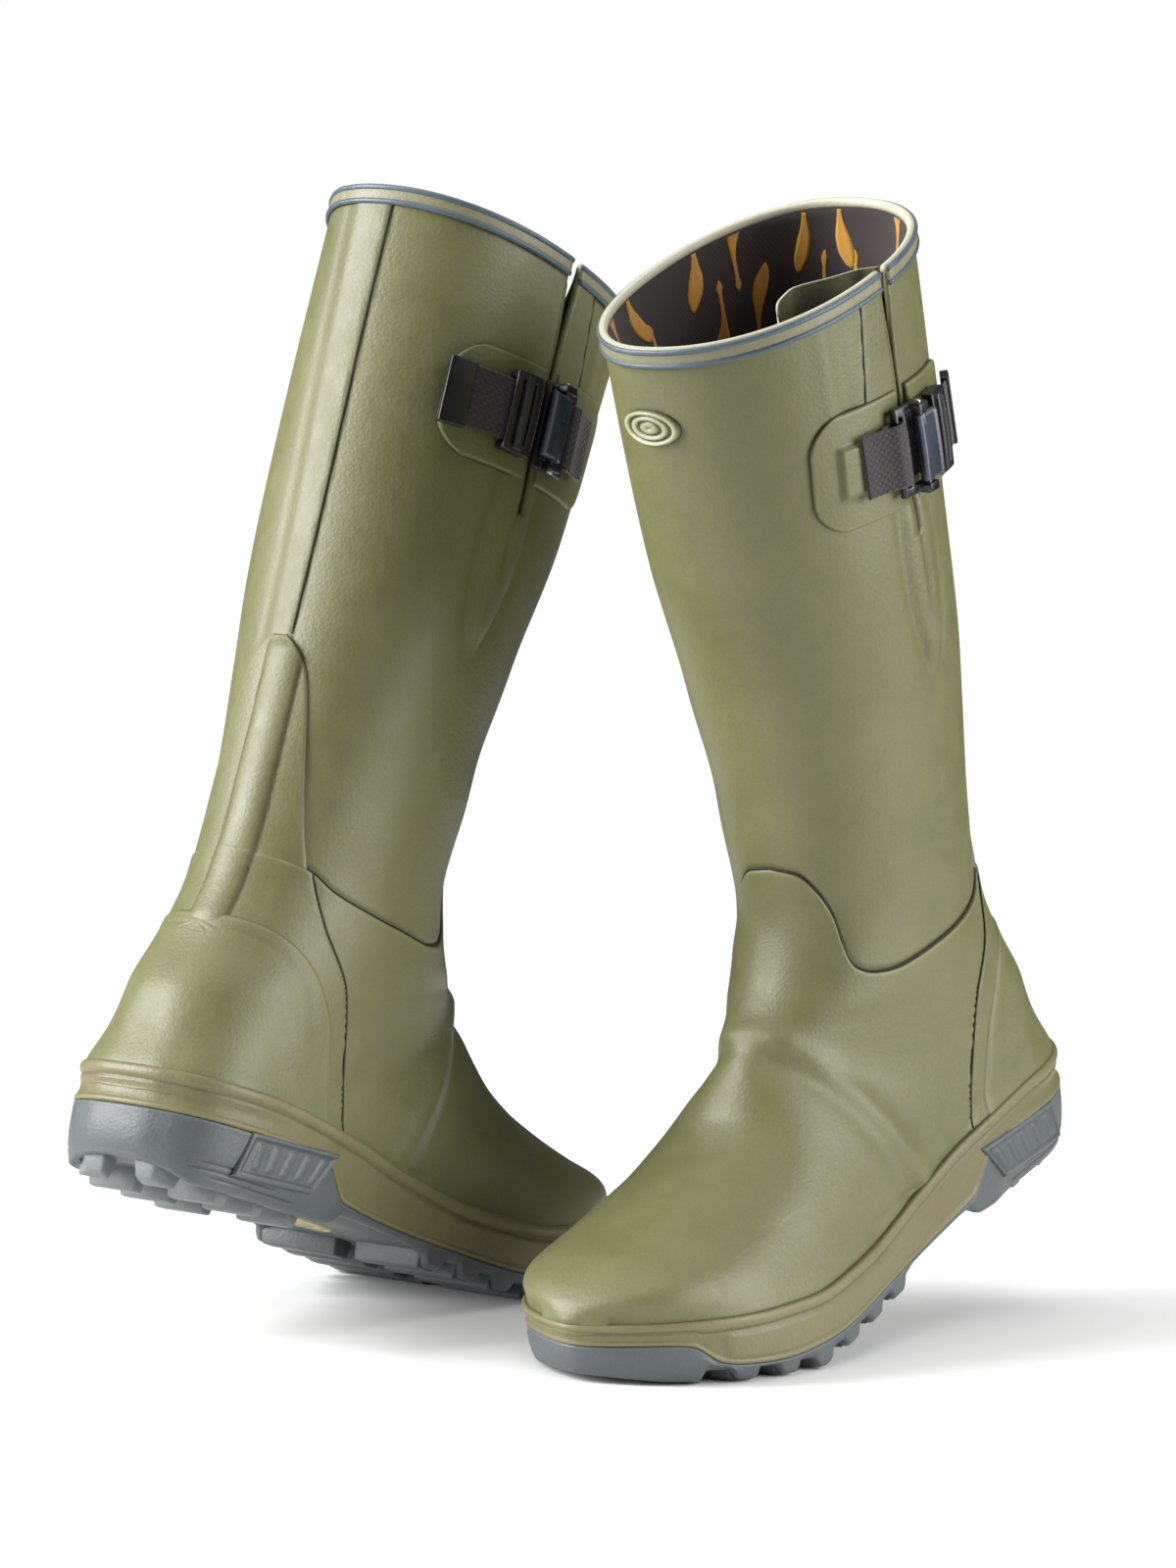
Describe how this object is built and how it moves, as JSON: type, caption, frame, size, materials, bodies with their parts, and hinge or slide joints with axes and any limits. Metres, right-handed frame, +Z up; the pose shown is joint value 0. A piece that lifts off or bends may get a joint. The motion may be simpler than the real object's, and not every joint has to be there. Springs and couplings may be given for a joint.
{
  "type": "hunting boots",
  "caption": "Pair of tall insulated rubber field boots with side gussets, buckled straps and lugged soles, standing on their toes.",
  "frame": {"origin": "centre of the pair's box, on the floor under the toes", "axes": "+Z up; the left boot is on the +X side with its toe towards -Y, the right boot on the -X side with its toe towards +Y; both outer sides face +X"},
  "size_m": [0.2922, 0.387, 0.4555],
  "materials": {
    "shell_rubber": "satin moulded olive rubber",
    "gusset_cloth": "matt coated cloth",
    "neoprene": "matt foam",
    "printed_lining": "brushed knit with a printed motif",
    "stiffener_board": "matt fibre board",
    "rim_tape": "satin with a blue-grey line",
    "sole_rubber": "matt grey",
    "band_rubber": "satin tan-olive",
    "shank_steel": "plain",
    "inlay_rubber": "satin",
    "footbed_foam": "brushed cloth on foam",
    "black_plastic": "fine texture",
    "lever_plastic": "smooth",
    "pin_steel": "polished",
    "webbing": "ribbed weave"
  },
  "bodies": {
    "left_boot": {"left_arch_inlay": "inlay_rubber", "left_backstay": "shell_rubber", "left_badge": "shell_rubber", "left_buckle_frame": "black_plastic", "left_foot_shell": "shell_rubber", "left_footbed": "footbed_foam", "left_front_tab": "shell_rubber", "left_gusset": "gusset_cloth", "left_heel_counter": "shell_rubber", "left_heel_plates": "sole_rubber", "left_heel_stiffener": "stiffener_board", "left_insole_board": "stiffener_board", "left_insulation": "neoprene", "left_lining": "printed_lining", "left_midsole": "band_rubber", "left_outsole": "sole_rubber", "left_rear_slider": "black_plastic", "left_rear_tab": "shell_rubber", "left_rim_binding": "rim_tape", "left_shaft_shell": "shell_rubber", "left_shank": "shank_steel", "left_strap": "webbing", "left_toe_puff": "stiffener_board", "left_vamp_overlay": "shell_rubber", "left_webbing_loop": "webbing"},
    "left_lever": {"left_buckle_lever": "lever_plastic", "left_lever_pin": "pin_steel"},
    "left_tail": {"left_strap_tail": "webbing", "left_strap_tip": "black_plastic"},
    "right_boot": {"right_arch_inlay": "inlay_rubber", "right_backstay": "shell_rubber", "right_badge": "shell_rubber", "right_buckle_frame": "black_plastic", "right_foot_shell": "shell_rubber", "right_footbed": "footbed_foam", "right_front_tab": "shell_rubber", "right_gusset": "gusset_cloth", "right_heel_counter": "shell_rubber", "right_heel_plates": "sole_rubber", "right_heel_stiffener": "stiffener_board", "right_insole_board": "stiffener_board", "right_insulation": "neoprene", "right_lining": "printed_lining", "right_midsole": "band_rubber", "right_outsole": "sole_rubber", "right_rear_slider": "black_plastic", "right_rear_tab": "shell_rubber", "right_rim_binding": "rim_tape", "right_shaft_shell": "shell_rubber", "right_shank": "shank_steel", "right_strap": "webbing", "right_toe_puff": "stiffener_board", "right_vamp_overlay": "shell_rubber", "right_webbing_loop": "webbing"},
    "right_lever": {"right_buckle_lever": "lever_plastic", "right_lever_pin": "pin_steel"},
    "right_tail": {"right_strap_tail": "webbing", "right_strap_tip": "black_plastic"}
  },
  "joints": [
    {"name": "right_boot_lift", "type": "slide", "parent": "left_boot", "child": "right_boot", "axis": [0, 0, 1], "range_m": [0, 0.08]},
    {"name": "left_lever_swing", "type": "hinge", "parent": "left_boot", "child": "left_lever", "pos_m": [0.14314, 0.00539, 0.35908], "axis": [0, 0.309, -0.9511], "range_deg": [0, 95]},
    {"name": "right_lever_swing", "type": "hinge", "parent": "right_boot", "child": "right_lever", "pos_m": [-0.02386, -0.00539, 0.35908], "axis": [0, 0.309, 0.9511], "range_deg": [0, 95]},
    {"name": "left_tail_pull", "type": "hinge", "parent": "left_boot", "child": "left_tail", "pos_m": [0.06155, 0.00829, 0.36003], "axis": [0, -0.309, 0.9511], "range_deg": [0, 6]},
    {"name": "right_tail_pull", "type": "hinge", "parent": "right_boot", "child": "right_tail", "pos_m": [-0.10545, -0.00829, 0.36003], "axis": [0, -0.309, -0.9511], "range_deg": [0, 6]}
  ]
}
